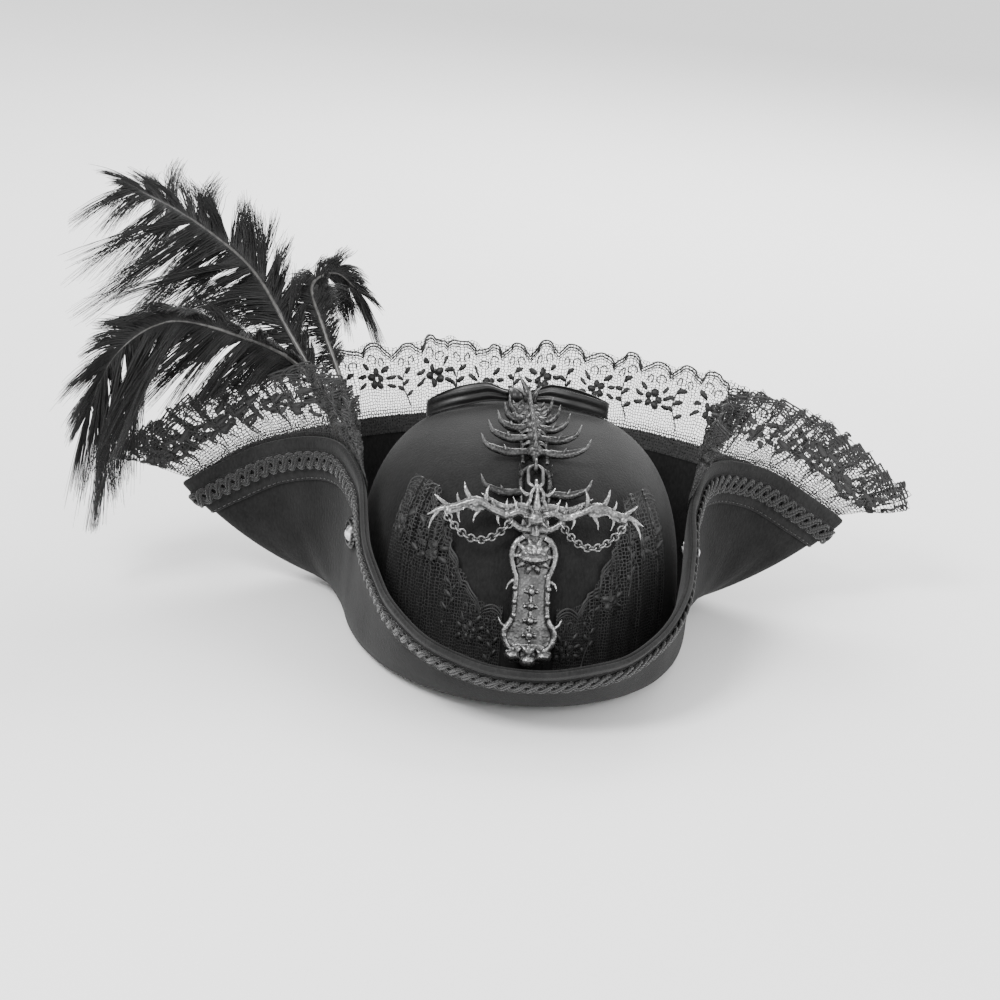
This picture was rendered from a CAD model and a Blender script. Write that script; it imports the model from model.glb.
import math

import bpy
import numpy as np
from mathutils import Matrix, Vector, noise


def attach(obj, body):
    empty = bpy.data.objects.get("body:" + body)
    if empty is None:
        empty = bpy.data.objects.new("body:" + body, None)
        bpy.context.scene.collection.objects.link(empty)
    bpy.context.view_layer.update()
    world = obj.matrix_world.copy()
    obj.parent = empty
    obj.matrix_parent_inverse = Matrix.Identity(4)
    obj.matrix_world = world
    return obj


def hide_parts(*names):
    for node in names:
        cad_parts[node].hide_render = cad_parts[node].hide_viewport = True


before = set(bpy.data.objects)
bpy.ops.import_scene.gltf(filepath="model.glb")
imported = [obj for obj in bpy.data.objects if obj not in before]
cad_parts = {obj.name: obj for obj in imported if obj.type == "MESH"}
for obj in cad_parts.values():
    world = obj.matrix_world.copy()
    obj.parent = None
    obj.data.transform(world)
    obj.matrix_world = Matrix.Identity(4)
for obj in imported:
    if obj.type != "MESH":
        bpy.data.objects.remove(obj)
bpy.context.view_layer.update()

# Everything below is worked out in millimetres in the CAD frame and written in metres.
MM = 0.001

# ---------------------------------------------------------------- camera

AIM = np.array([-12.0, -10.0, 70.0])
CAMERA_AZIMUTH = math.radians(-4)
CAMERA_ELEVATION = math.radians(18)
CAMERA_ROLL = math.radians(4.5)
CAMERA_DISTANCE = 1634.0
back = np.array([math.sin(CAMERA_AZIMUTH) * math.cos(CAMERA_ELEVATION),
                 -math.cos(CAMERA_AZIMUTH) * math.cos(CAMERA_ELEVATION), math.sin(CAMERA_ELEVATION)])
level = np.array([math.cos(CAMERA_AZIMUTH), math.sin(CAMERA_AZIMUTH), 0])
upright = np.cross(back, level)
right = math.cos(CAMERA_ROLL) * level + math.sin(CAMERA_ROLL) * upright
up = -math.sin(CAMERA_ROLL) * level + math.cos(CAMERA_ROLL) * upright
camera_data = bpy.data.cameras.new("camera")
camera_data.lens = 117
camera_data.clip_end = 20
camera = bpy.data.objects.new("camera", camera_data)
place = (AIM + back * CAMERA_DISTANCE) * MM
camera.matrix_world = Matrix([[right[i], up[i], back[i], place[i]] for i in range(3)] + [[0, 0, 0, 1]])
bpy.context.scene.collection.objects.link(camera)
bpy.context.scene.camera = camera

# ---------------------------------------------------------------- vectors and curves


def unit(v):
    """The vectors in the last axis, at length 1."""
    return v / np.maximum(np.linalg.norm(v, axis=-1, keepdims=True), 1e-9)


def ramp(x, start, end):
    """0 before start and 1 after end, smooth in between."""
    u = np.clip((np.asarray(x, float) - start) / (end - start), 0, 1)
    return u * u * (3 - 2 * u)


def spline(points, t):
    """Catmull-Rom spline through the points, at t from 0 to len(points) - 1."""
    points = np.asarray(points, float)
    padded = np.vstack([2 * points[0] - points[1], points, 2 * points[-1] - points[-2]])
    t = np.clip(np.asarray(t, float), 0, len(points) - 1 - 1e-9)
    i = np.floor(t).astype(int)
    u = (t - i)[..., None]
    a, b, c, d = padded[i], padded[i + 1], padded[i + 2], padded[i + 3]
    return 0.5 * (2 * b + (c - a) * u + (2 * a - 5 * b + 4 * c - d) * u**2 + (3 * b - a - 3 * c + d) * u**3)


def wander(x, seed, wave):
    """Smooth noise of about unit size along x, with features about one wave long."""
    r = np.random.default_rng(seed)
    x = np.asarray(x, float)
    total = np.zeros_like(x)
    for k in range(5):
        total += math.sqrt(0.4) * np.sin(x * 2 * math.pi / (wave * (0.6 + 0.35 * k)) + r.uniform(0,
                                                                                                 2 * math.pi))
    return total


# ---------------------------------------------------------------- meshes


def new_object(name, points, faces, smooth=True):
    """A mesh object from points in millimetres and a list of face arrays."""
    mesh = bpy.data.meshes.new(name)
    mesh.from_pydata((np.asarray(points) * MM).tolist(), [],
                     [f for part in faces for f in np.asarray(part).tolist()])
    mesh.update()
    if smooth:
        mesh.shade_smooth()
    obj = bpy.data.objects.new(name, mesh)
    bpy.context.scene.collection.objects.link(obj)
    return obj


def note_points(obj, name, values):
    """Stores a vector on every point of the mesh, for its material to read."""
    layer = obj.data.attributes.new(name, "FLOAT_VECTOR", "POINT")
    layer.data.foreach_set("vector", np.asarray(values, np.float32).ravel())


def grid_faces(n, m, closed_i=False, closed_j=False):
    """Quads of a grid of points [i][j], facing along cross(i, j)."""
    i = np.arange(n if closed_i else n - 1)[:, None]
    j = np.arange(m if closed_j else m - 1)[None, :]
    a = (i % n) * m + j % m
    b = ((i + 1) % n) * m + j % m
    c = ((i + 1) % n) * m + (j + 1) % m
    d = (i % n) * m + (j + 1) % m
    return np.stack([a, b, c, d], -1).reshape(-1, 4)


def slab(outer, inner, closed=False):
    """Points and faces of a closed sheet between two grids, whose outer side faces along cross(i, j)."""
    n, m = outer.shape[:2]
    base = n * m
    near = grid_faces(n, m, closed)
    faces = [near, near[:, ::-1] + base]
    i = np.arange(n if closed else n - 1)
    k = (i + 1) % n
    faces.append(np.stack([k * m, i * m, base + i * m, base + k * m], -1))
    faces.append(np.stack([i * m + m - 1, k * m + m - 1, base + k * m + m - 1, base + i * m + m - 1], -1))
    if not closed:
        j = np.arange(m - 1)
        faces.append(np.stack([j, j + 1, base + j + 1, base + j], -1))
        last = (n - 1) * m
        faces.append(np.stack([last + j + 1, last + j, base + last + j, base + last + j + 1], -1))
    return np.concatenate([outer.reshape(-1, 3), inner.reshape(-1, 3)]), faces


def tube_parts(paths, radii, sides, closed=False):
    """Points and faces of tubes along paths [n][k][3], with radii [n][k] or anything that fits it."""
    paths = np.asarray(paths, float)
    n, k = paths.shape[:2]
    radii = np.broadcast_to(np.asarray(radii, float), (n, k))
    if closed:
        way = unit(np.roll(paths, -1, 1) - np.roll(paths, 1, 1))
    else:
        way = unit(np.gradient(paths, axis=1))
    side = unit(np.cross(way, np.array([0.131, 0.217, 0.967])))
    over = np.cross(way, side)
    a = np.arange(sides) * 2 * math.pi / sides
    ring = np.cos(a)[:, None] * side[:, :, None] + np.sin(a)[:, None] * over[:, :, None]
    points = (paths[:, :, None] + radii[:, :, None, None] * ring).reshape(-1, 3)
    quads = grid_faces(k, sides, closed, True)[:, ::-1]
    start = (np.arange(n) * k * sides)[:, None, None]
    faces = [(quads[None] + start).reshape(-1, 4)]
    if not closed:
        cap = np.arange(sides)
        faces.append((cap[None] + start[:, :, 0]).reshape(-1, sides))
        faces.append((cap[::-1][None] + start[:, :, 0] + (k - 1) * sides).reshape(-1, sides))
    return points, faces


def joined(parts):
    """Points and faces of several meshes as one."""
    points, faces, base = [], [], 0
    for p, f in parts:
        points.append(p)
        faces += [np.asarray(part) + base for part in f]
        base += len(p)
    return np.concatenate(points), faces


def tubes(name, paths, radii, sides=6, closed=False):
    return new_object(name, *tube_parts(paths, radii, sides, closed))


def limb(points, radii, steps=16, sides=8):
    """One tapered limb on a spline through the points."""
    t = np.linspace(0, len(points) - 1, steps)
    return tube_parts(spline(points, t)[None], spline(np.asarray(radii, float)[:, None], t)[:, 0][None],
                      sides)


def ball(centre, radius, squash=1.0):
    """A small closed ball, flattened along z where squash is under 1."""
    a = np.linspace(-math.pi / 2, math.pi / 2, 9)
    path = np.array(centre) + np.stack([0 * a, 0 * a, radius * squash * np.sin(a)], -1)
    return tube_parts(path[None], np.maximum(radius * np.cos(a), 0.02)[None], 14)


def remesh(obj, voxel, rough=0.0, grain=1.0, smooth=2):
    """Fuses the overlapping solids of a mesh into one skin, and roughens it as a casting is."""
    cut = obj.modifiers.new("fuse", "REMESH")
    cut.mode = "VOXEL"
    cut.voxel_size = voxel * MM
    cut.use_smooth_shade = True
    soft = obj.modifiers.new("soften", "SMOOTH")
    soft.factor = 0.5
    soft.iterations = smooth
    fused = bpy.data.meshes.new_from_object(obj.evaluated_get(bpy.context.evaluated_depsgraph_get()))
    obj.modifiers.clear()
    obj.data = fused
    if rough:
        n = len(fused.vertices)
        where, normal = np.empty(n * 3), np.empty(n * 3)
        fused.vertices.foreach_get("co", where)
        fused.vertex_normals.foreach_get("vector", normal)
        where = where.reshape(-1, 3)
        fine = where / (grain * MM)
        bumps = np.array([noise.noise(p) + 0.5 * noise.noise(p * 2.3) for p in map(Vector, fine.tolist())])
        fused.vertices.foreach_set("co", (where + normal.reshape(-1, 3) * (bumps * rough * MM)[:,
                                                                                               None]).ravel())
        fused.update()
    fused.shade_smooth()
    return obj


# ---------------------------------------------------------------- the felt hat's own surfaces

CROWN_HALF_X = 82.0
CROWN_HALF_Y = 102.0
CROWN_HEIGHT = 110.0
SQUARENESS = 3.2
FELT = 2.6

# From the front round +X to the back: the edge's x, y and z, the azimuths where the row
# leaves the crown and that it heads for, how far it runs flat, how far the edge leans out
# from vertical, and how long the edge stays straight.
BRIM_ROWS = [
    [0, -160, 35, 0, 0, 30, 55, 20],
    [42, -150, 40, 22, 20, 29, 52, 20],
    [69, -118, 52, 42, 38, 24, 38, 24],
    [80, -75, 67, 60, 62, 16, 18, 30],
    [84, -30, 84, 80, 82, 12, 5, 36],
    [98, 8, 90, 92, 92, 14, 10, 40],
    [128, 32, 80, 104, 97, 26, 28, 36],
    [158, 43, 61, 112, 95, 34, 40, 32],
    [172, 50, 50, 118, 93, 38, 45, 31],
    [160, 64, 54, 126, 108, 32, 38, 31],
    [131, 84, 65, 138, 132, 24, 24, 34],
    [66, 104, 76, 158, 160, 14, 8, 38],
    [0, 112, 78, 180, 180, 12, 3, 40],
]
ROWS_ROUND = 24
FACING_WIDTH = 22.0
FACING_THICK = 1.2
BRAID_DROP = 5.5
BRAID_WIDTH = 10.5


def all_rows():
    """The rows for t from -2 to 26, the far side mirrored and the azimuths growing all the way."""
    rows = []
    for i in range(-2, ROWS_ROUND + 3):
        turn, j = divmod(i, ROWS_ROUND)
        row = list(BRIM_ROWS[j if j <= 12 else ROWS_ROUND - j])
        if j > 12:
            row[0], row[3], row[4] = -row[0], 360 - row[3], 360 - row[4]
        row[3] += 360 * turn
        row[4] += 360 * turn
        rows.append(row)
    return np.array(rows, float)


ALL_ROWS = all_rows()


def brim_at(t):
    return spline(ALL_ROWS, np.asarray(t, float) + 2)


def heading(azimuth):
    a = np.radians(azimuth)
    return np.stack([np.sin(a), -np.cos(a), 0 * a], -1)


def brim_point(t, s):
    t, s = np.broadcast_arrays(np.asarray(t, float), np.asarray(s, float))
    row = brim_at(t)
    a = np.radians(row[..., 3])
    root = np.stack([(CROWN_HALF_X + 0.2) * np.sin(a), -(CROWN_HALF_Y + 0.2) * np.cos(a), 0 * a], -1)
    edge = row[..., :3]
    out = heading(row[..., 4])
    lean = np.radians(row[..., 6])[..., None]
    low = root + row[..., 5:6] * out
    high = edge - row[..., 7:8] * (out * np.sin(lean) + np.array([0, 0, 1.0]) * np.cos(lean))
    s = s[..., None]
    r = 1 - s
    return r**3 * root + 3 * r * r * s * low + 3 * r * s * s * high + s**3 * edge


def brim_normal(t, s):
    along = brim_point(t + 0.25, s) - brim_point(t - 0.25, s)
    across = brim_point(t, s + 0.02) - brim_point(t, s - 0.02)
    return unit(np.cross(along, across))


def wobble(t, s):
    """Unevenness of the pressed felt, in millimetres, shared by everything sewn to it."""
    a = np.asarray(t) * 2 * math.pi / ROWS_ROUND
    return 0.22 * s * (np.sin(9 * a + 3 * s) + np.sin(17 * a - 5 * s + 1) + 0.7 * np.sin(31 * a + 4 * s + 2))


def on_brim(t, s, off):
    t, s = np.broadcast_arrays(np.asarray(t, float), np.asarray(s, float))
    return brim_point(t, s) + (np.asarray(off) + wobble(t, s))[..., None] * brim_normal(t, s)


def below_edge(t, distance):
    """Fraction s at a distance below the edge, or over it where the distance is negative."""
    t, distance = np.broadcast_arrays(np.asarray(t, float), np.asarray(distance, float))
    edge = brim_point(t, 1.0)
    gap = np.where(np.abs(distance) < 0.05, 0.05, distance)
    s = 1 - gap / (3 * brim_at(t)[..., 7])
    for _ in range(3):
        chord = np.linalg.norm(edge - brim_point(t, s), axis=-1)
        s = 1 - (1 - s) * np.abs(gap) / np.maximum(chord, 1e-6)
    return np.where(np.abs(distance) < 0.05, 1.0, s)


def crown_radius(z):
    return (1 - (np.clip(z, 0, CROWN_HEIGHT) / CROWN_HEIGHT) ** SQUARENESS) ** (1 / SQUARENESS)


def crown_top(x, y):
    r = np.hypot(np.asarray(x) / CROWN_HALF_X, np.asarray(y) / CROWN_HALF_Y)
    return CROWN_HEIGHT * np.maximum(0, 1 - r**SQUARENESS) ** (1 / SQUARENESS)


def crown_normal(p):
    q = SQUARENESS
    r = np.maximum(0.001, np.hypot(p[..., 0] / CROWN_HALF_X, p[..., 1] / CROWN_HALF_Y))
    g = [r ** (q - 2) * p[..., 0] / CROWN_HALF_X**2, r ** (q - 2) * p[..., 1] / CROWN_HALF_Y**2,
         p[..., 2] ** (q - 1) / CROWN_HEIGHT**q]
    return unit(np.stack(g, -1))


def over_side(azimuth, z, off):
    a = np.radians(azimuth)
    r = crown_radius(z)
    p = np.stack([CROWN_HALF_X * r * np.sin(a), -CROWN_HALF_Y * r * np.cos(a), z + 0 * a], -1)
    return p + np.asarray(off)[..., None] * crown_normal(p)


def over_top(x, y, off):
    p = np.array([x, y, float(crown_top(x, y))])
    return p + off * crown_normal(p)


def crown_skin(n, m, inset, first_rise=0.0, last_rise=89.5):
    """Grid [azimuth][rise] of the crown's skin, moved inwards by inset."""
    az = np.radians(np.arange(n) * 360 / n)[:, None]
    rise = np.radians(np.linspace(first_rise, last_rise, m))[None]
    power = 2 / SQUARENESS
    r = np.cos(rise) ** power
    z = (CROWN_HEIGHT - inset) * np.sin(rise) ** power
    dent = 0.35 * np.sin(3 * az + 0.6) * np.sin(2 * rise) + 0.25 * np.sin(5 * az + 2) * np.sin(3 * rise)
    k = inset - dent
    return np.stack([(CROWN_HALF_X - k) * r * np.sin(az), -(CROWN_HALF_Y - k) * r * np.cos(az), z + 0 * az],
                    -1)


# ---------------------------------------------------------------- materials


class Finish:
    """A material under construction: a Principled shader and short ways to add nodes to it."""

    def __init__(self, name, colour, roughness, **sockets):
        self.material = bpy.data.materials.new(name)
        self.material.use_nodes = True
        self.tree = self.material.node_tree
        self.shader = self.tree.nodes["Principled BSDF"]
        self.shader.inputs["Base Color"].default_value = (*colour, 1)
        self.shader.inputs["Roughness"].default_value = roughness
        for socket, value in sockets.items():
            self.shader.inputs[socket.replace("_", " ")].default_value = value
        self.coordinates = self.tree.nodes.new("ShaderNodeTexCoord").outputs["Object"]

    def node(self, kind, **values):
        """A node whose inputs are set by name, where a value may be another node's output."""
        made = self.tree.nodes.new("ShaderNode" + kind)
        for key, value in values.items():
            if key in made.inputs:
                if isinstance(value, bpy.types.NodeSocket):
                    self.tree.links.new(value, made.inputs[key])
                else:
                    made.inputs[key].default_value = value
            else:
                setattr(made, key, value)
        return made

    def link(self, output, socket):
        self.tree.links.new(output, self.shader.inputs[socket])

    def coat(self, colour, roughness, normal):
        """Links the three results of a finish to its shader."""
        self.link(colour, "Base Color")
        self.link(roughness, "Roughness")
        self.link(normal, "Normal")

    def blend(self, a, share, b, rest):
        """a times its share plus b times the rest."""
        return self.math("MULTIPLY_ADD", a, share, self.math("MULTIPLY", b, rest))

    def noise(self, scale, detail=3.0, stretch=None, vector=None):
        where = vector or self.coordinates
        if stretch:
            where = self.node("Mapping", Vector=where, Scale=stretch).outputs[0]
        made = self.node("TexNoise", Vector=where)
        made.inputs["Scale"].default_value = scale
        made.inputs["Detail"].default_value = detail
        return made.outputs[0]

    def ramp(self, value, stops):
        """Colours at places from 0 to 1, each stop (place, grey or colour)."""
        made = self.tree.nodes.new("ShaderNodeValToRGB")
        self.tree.links.new(value, made.inputs[0])
        elements = made.color_ramp.elements
        while len(elements) < len(stops):
            elements.new(0.5)
        for element, (place, colour) in zip(elements, stops):
            element.position = place
            element.color = (*colour, 1) if isinstance(colour, tuple) else (colour, colour, colour, 1)
        return made.outputs[0]

    def math(self, operation, a, b=0.0, c=0.0):
        made = self.tree.nodes.new("ShaderNodeMath")
        made.operation = operation
        for k, value in enumerate((a, b, c)):
            if isinstance(value, bpy.types.NodeSocket):
                self.tree.links.new(value, made.inputs[k])
            else:
                made.inputs[k].default_value = value
        return made.outputs[0]

    def bump(self, height, strength, distance, under=None):
        made = self.node("Bump", Height=height)
        made.inputs["Strength"].default_value = strength
        made.inputs["Distance"].default_value = distance
        if under:
            self.tree.links.new(under, made.inputs["Normal"])
        return made.outputs[0]

    def attribute(self, name):
        made = self.tree.nodes.new("ShaderNodeAttribute")
        made.attribute_name = name
        return made.outputs["Vector"]

    def apart(self, vector):
        return self.node("SeparateXYZ", Vector=vector).outputs


def felt_finish(name, dark, light):
    """Wool felt: matted fibres, faint mottling and a soft nap."""
    f = Finish(name, (light,) * 3, 0.95, Sheen_Weight=0.07, Sheen_Roughness=0.5, Specular_IOR_Level=0.1)
    mottle = f.noise(55, 4)
    fibre = f.noise(900, 5, stretch=(1, 1, 0.45))
    fleck = f.noise(2600, 2)
    blend = f.math("ADD", f.math("MULTIPLY", mottle, 0.45), f.math("MULTIPLY", fibre, 0.55))
    f.link(f.ramp(blend, [(0.32, dark), (0.66, light)]), "Base Color")
    f.link(f.ramp(fibre, [(0.3, 0.86), (0.7, 1.0)]), "Roughness")
    nap = f.bump(fibre, 0.55, 0.0006)
    f.link(f.bump(fleck, 0.35, 0.0003, nap), "Normal")
    return f.material


def thread_finish(name, dark, light, pitch, slope=0.5):
    """Twisted thread: plies that advance with the length and sway with the turn's cosine, from 'along'."""
    f = Finish(name, (light,) * 3, 0.6, Sheen_Weight=0.3, Sheen_Roughness=0.35, Specular_IOR_Level=0.4)
    length, cosine, _ = f.apart(f.attribute("along"))
    turn = f.blend(length, 2 * math.pi / pitch, cosine, 2 * math.pi)
    ply = f.math("MULTIPLY_ADD", f.math("SINE", turn), 0.5, 0.5)
    lint = f.noise(2200, 3)
    f.coat(f.ramp(f.blend(lint, 0.4, ply, 0.6), [(0.2, dark), (0.8, light)]),
           f.ramp(lint, [(0.3, 0.5), (0.7, 0.75)]),
           f.bump(ply, slope, 0.0004, f.bump(lint, 0.3, 0.0002)))
    return f.material


def lace_cord_finish():
    """Fine rayon cord of the lace's outlines and leaves."""
    f = Finish("lace cord", (0.012,) * 3, 0.5, Sheen_Weight=0.06, Sheen_Roughness=0.4,
               Specular_IOR_Level=0.45)
    strand = f.noise(3000, 2)
    patch = f.noise(140, 3)
    f.coat(f.ramp(f.blend(strand, 0.6, patch, 0.4), [(0.3, 0.004), (0.72, 0.022)]),
           f.ramp(patch, [(0.3, 0.42), (0.7, 0.68)]),
           f.bump(strand, 0.5, 0.0003))
    return f.material


def net_finish():
    """Net ground: threads round open cells in the cloth's own coordinates, denser at the heading."""
    f = Finish("lace net", (0.012,) * 3, 0.7, Sheen_Weight=0.05, Specular_IOR_Level=0.3)
    cloth = f.attribute("cloth")
    cells = f.node("TexVoronoi", voronoi_dimensions="2D", feature="DISTANCE_TO_EDGE", Vector=cloth)
    cells.inputs["Scale"].default_value = 0.62
    cells.inputs["Randomness"].default_value = 0.55
    height = f.apart(cloth)[1]
    width = f.ramp(f.math("MULTIPLY_ADD", height, 1 / 60, 0.15), [(0.08, 0.36), (0.26, 0.115)])
    f.link(f.ramp(f.noise(900, 2), [(0.3, 0.01), (0.7, 0.035)]), "Base Color")
    thread = f.math("LESS_THAN", cells.outputs[0], width)
    f.link(f.bump(cells.outputs[0], 0.4, 0.0003), "Normal")
    clear = f.node("BsdfTransparent").outputs[0]
    mixed = f.node("MixShader")
    f.tree.links.new(thread, mixed.inputs[0])
    f.tree.links.new(clear, mixed.inputs[1])
    f.tree.links.new(f.shader.outputs[0], mixed.inputs[2])
    f.tree.links.new(mixed.outputs[0], f.tree.nodes["Material Output"].inputs[0])
    return f.material


def satin_finish():
    """Satin ribbon: fine lengthwise floats with a soft streaked shine."""
    f = Finish("satin", (0.006, 0.006, 0.007), 0.42, Sheen_Weight=0.05, Specular_IOR_Level=0.35)
    floats = f.noise(700, 2, stretch=(0.08, 6, 6))
    crease = f.noise(60, 3)
    f.coat(f.ramp(floats, [(0.3, 0.004), (0.7, 0.012)]),
           f.ramp(floats, [(0.3, 0.36), (0.7, 0.5)]),
           f.bump(floats, 0.25, 0.0002, f.bump(crease, 0.3, 0.001)))
    return f.material


def woven_finish(name, dark, light, rib):
    """Plain woven ribbon or lining, with ribs this many millimetres apart."""
    f = Finish(name, (light,) * 3, 0.7, Sheen_Weight=0.15, Specular_IOR_Level=0.35)
    x, y, _ = f.apart(f.attribute("cloth"))
    warp = f.math("SINE", f.math("MULTIPLY", x, 2 * math.pi / rib))
    weft = f.math("SINE", f.math("MULTIPLY", y, 2 * math.pi / (rib * 0.6)))
    weave = f.math("MULTIPLY_ADD", f.math("MULTIPLY", warp, weft), 0.5, 0.5)
    wear = f.noise(70, 4)
    f.coat(f.ramp(f.blend(weave, 0.5, wear, 0.5), [(0.25, dark), (0.75, light)]),
           f.ramp(wear, [(0.3, 0.55), (0.7, 0.8)]),
           f.bump(weave, 0.5, 0.0003))
    return f.material


def cast_finish(name, hollow, body, edge, shine):
    """Antiqued casting: dark in the hollows, rubbed brighter on the edges."""
    f = Finish(name, (body,) * 3, 0.45, Metallic=0.9)
    edges = f.tree.nodes.new("ShaderNodeNewGeometry").outputs["Pointiness"]
    blotch = f.noise(260, 5)
    pits = f.noise(1500, 3)
    wear = f.math("ADD", edges, f.math("MULTIPLY", f.math("SUBTRACT", blotch, 0.5), 0.12))
    f.coat(f.ramp(wear, [(0.42, hollow), (0.5, body), (0.6, edge)]),
           f.ramp(f.math("ADD", wear, f.math("MULTIPLY", pits, 0.1)),
                  [(0.45, shine + 0.25), (0.62, shine)]),
           f.bump(pits, 0.3, 0.0002, f.bump(blotch, 0.3, 0.0005)))
    return f.material


def polished_finish():
    """Polished rivet cap with a faint turned grain and a few handling marks."""
    f = Finish("polished cap", (0.72, 0.72, 0.73), 0.16, Metallic=1.0)
    haze = f.noise(420, 4)
    scratch = f.noise(1800, 2, stretch=(1, 12, 1))
    f.coat(f.ramp(haze, [(0.3, (0.58, 0.58, 0.6)), (0.7, (0.8, 0.8, 0.81))]),
           f.ramp(haze, [(0.3, 0.12), (0.7, 0.28)]),
           f.bump(scratch, 0.08, 0.0001))
    return f.material


def barb_finish():
    """Dyed ostrich barbs: nearly black, with a soft grey glint where they turn to the light."""
    f = Finish("ostrich barb", (0.008,) * 3, 0.5, Sheen_Weight=0.06, Sheen_Roughness=0.4,
               Specular_IOR_Level=0.3)
    shade = f.noise(90, 3)
    fluff = f.noise(2400, 2)
    f.coat(f.ramp(f.blend(fluff, 0.5, shade, 0.5), [(0.3, 0.003), (0.72, 0.014)]),
           f.ramp(shade, [(0.3, 0.36), (0.7, 0.6)]),
           f.bump(fluff, 0.6, 0.0003))
    return f.material


def quill_finish():
    f = Finish("quill", (0.05, 0.049, 0.047), 0.35, Specular_IOR_Level=0.5)
    grain = f.noise(500, 3, stretch=(1, 1, 0.2))
    f.coat(f.ramp(grain, [(0.3, (0.02, 0.0195, 0.019)), (0.7, (0.08, 0.078, 0.075))]),
           f.ramp(grain, [(0.3, 0.28), (0.7, 0.45)]),
           f.bump(grain, 0.3, 0.0002))
    return f.material


def floor_finish():
    f = Finish("studio floor", (0.86, 0.86, 0.86), 0.9, Specular_IOR_Level=0.1)
    f.link(f.ramp(f.noise(3, 2), [(0.2, 0.89), (0.8, 0.92)]), "Base Color")
    return f.material


FELT_LOOK = felt_finish("wool felt", 0.005, 0.016)
FACING_LOOK = felt_finish("felt facing", 0.008, 0.022)
BRAID_LOOK = thread_finish("gimp cord", 0.004, 0.02, 1.5)
STITCH_LOOK = thread_finish("sewing thread", 0.01, 0.03, 0.6)
BINDING_LOOK = thread_finish("waxed thread", 0.01, 0.035, 0.9)
CORD_LOOK = lace_cord_finish()
NET_LOOK = net_finish()
SATIN_LOOK = satin_finish()
RIBBON_LOOK = woven_finish("grosgrain", 0.012, 0.04, 1.1)
LINING_LOOK = woven_finish("lining", 0.015, 0.04, 0.5)
DARK_METAL_LOOK = cast_finish("blackened casting", 0.006, 0.035, 0.2, 0.3)
WORN_METAL_LOOK = cast_finish("antiqued casting", 0.012, 0.11, 0.55, 0.24)
POLISHED_LOOK = polished_finish()
BARB_LOOK = barb_finish()
QUILL_LOOK = quill_finish()


def piece(obj, look, body="hat", stands_for=()):
    """Dresses a new piece, and ties it to its body, slot and the CAD nodes that it stands for."""
    obj.data.materials.clear()
    obj.data.materials.append(look)
    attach(obj, body)
    if stands_for:
        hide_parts(*stands_for)
    return obj


def dress(node, look):
    """A better finish on a CAD node that keeps its shape."""
    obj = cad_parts[node]
    obj.data.materials.clear()
    obj.data.materials.append(look)


def ring_along(paths, sides):
    """The 'along' values of tubes: length in millimetres, then the cosine and sine of the turn."""
    step = np.linalg.norm(np.diff(paths, axis=1), axis=-1)
    length = np.concatenate([np.zeros((len(paths), 1)), np.cumsum(step, 1)], 1)
    a = np.arange(sides) * 2 * math.pi / sides
    n, k = length.shape
    out = np.empty((n, k, sides, 3))
    out[..., 0] = length[:, :, None]
    out[..., 1] = np.cos(a)
    out[..., 2] = np.sin(a)
    return out.reshape(-1, 3)


def dome_parts(outer, inner):
    """Points and faces of a closed two-skinned dome from grids [azimuth][rise]."""
    n, m = outer.shape[:2]
    base = n * m
    near = grid_faces(n, m, True)
    i = np.arange(n)
    k = (i + 1) % n
    top = 2 * base
    faces = [near, near[:, ::-1] + base, np.stack([k * m, i * m, base + i * m, base + k * m], -1),
             np.stack([i * m + m - 1, k * m + m - 1, 0 * i + top], -1),
             np.stack([base + k * m + m - 1, base + i * m + m - 1, 0 * i + top + 1], -1)]
    tips = np.array([outer[:, -1].mean(0), inner[:, -1].mean(0)])
    return np.concatenate([outer.reshape(-1, 3), inner.reshape(-1, 3), tips]), faces


def grid_normals(grid, closed=False):
    along = (np.roll(grid, -1, 0) - np.roll(grid, 1, 0)) if closed else np.gradient(grid, axis=0)
    return unit(np.cross(along, np.gradient(grid, axis=1)))


def say_share(obj, width, length):
    """Prints a sheet's flat size and its mesh's area, both faces counted, as a share of it."""
    share = sum(p.area for p in obj.data.polygons) / (width * length * MM * MM)
    print(f"SHEET {obj.name}: flat {width:.0f} x {length:.0f} mm, mesh {share:.2f} of it")


# ---------------------------------------------------------------- spine ornament

VERTEBRA_R = 4.4
SPINE_FRONT = -54.0
VERTEBRA_PITCH = 12.8
SPINE_EYE = np.array([0, -66, 106.5])
EYE_RADIUS = 3.0
BAIL_WIRE = 1.8
RIB_SPANS = [27, 27, 23, 18, 14, 11]
FRONT_RIB_Y = -75.0


def spine_centre(k):
    return over_top(0, SPINE_FRONT + k * VERTEBRA_PITCH, VERTEBRA_R + 0.4)


def torus(centre, radius, wire, axis):
    """A ring of round wire about an axis."""
    axis = unit(np.asarray(axis, float))
    first = unit(np.cross(axis, [0.3, 0.5, 0.81]))
    second = np.cross(axis, first)
    a = np.linspace(0, 2 * math.pi, 48, endpoint=False)[:, None]
    path = np.asarray(centre) + radius * (np.cos(a) * first + np.sin(a) * second)
    return tube_parts(path[None], wire / 2, 16, closed=True)


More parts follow.
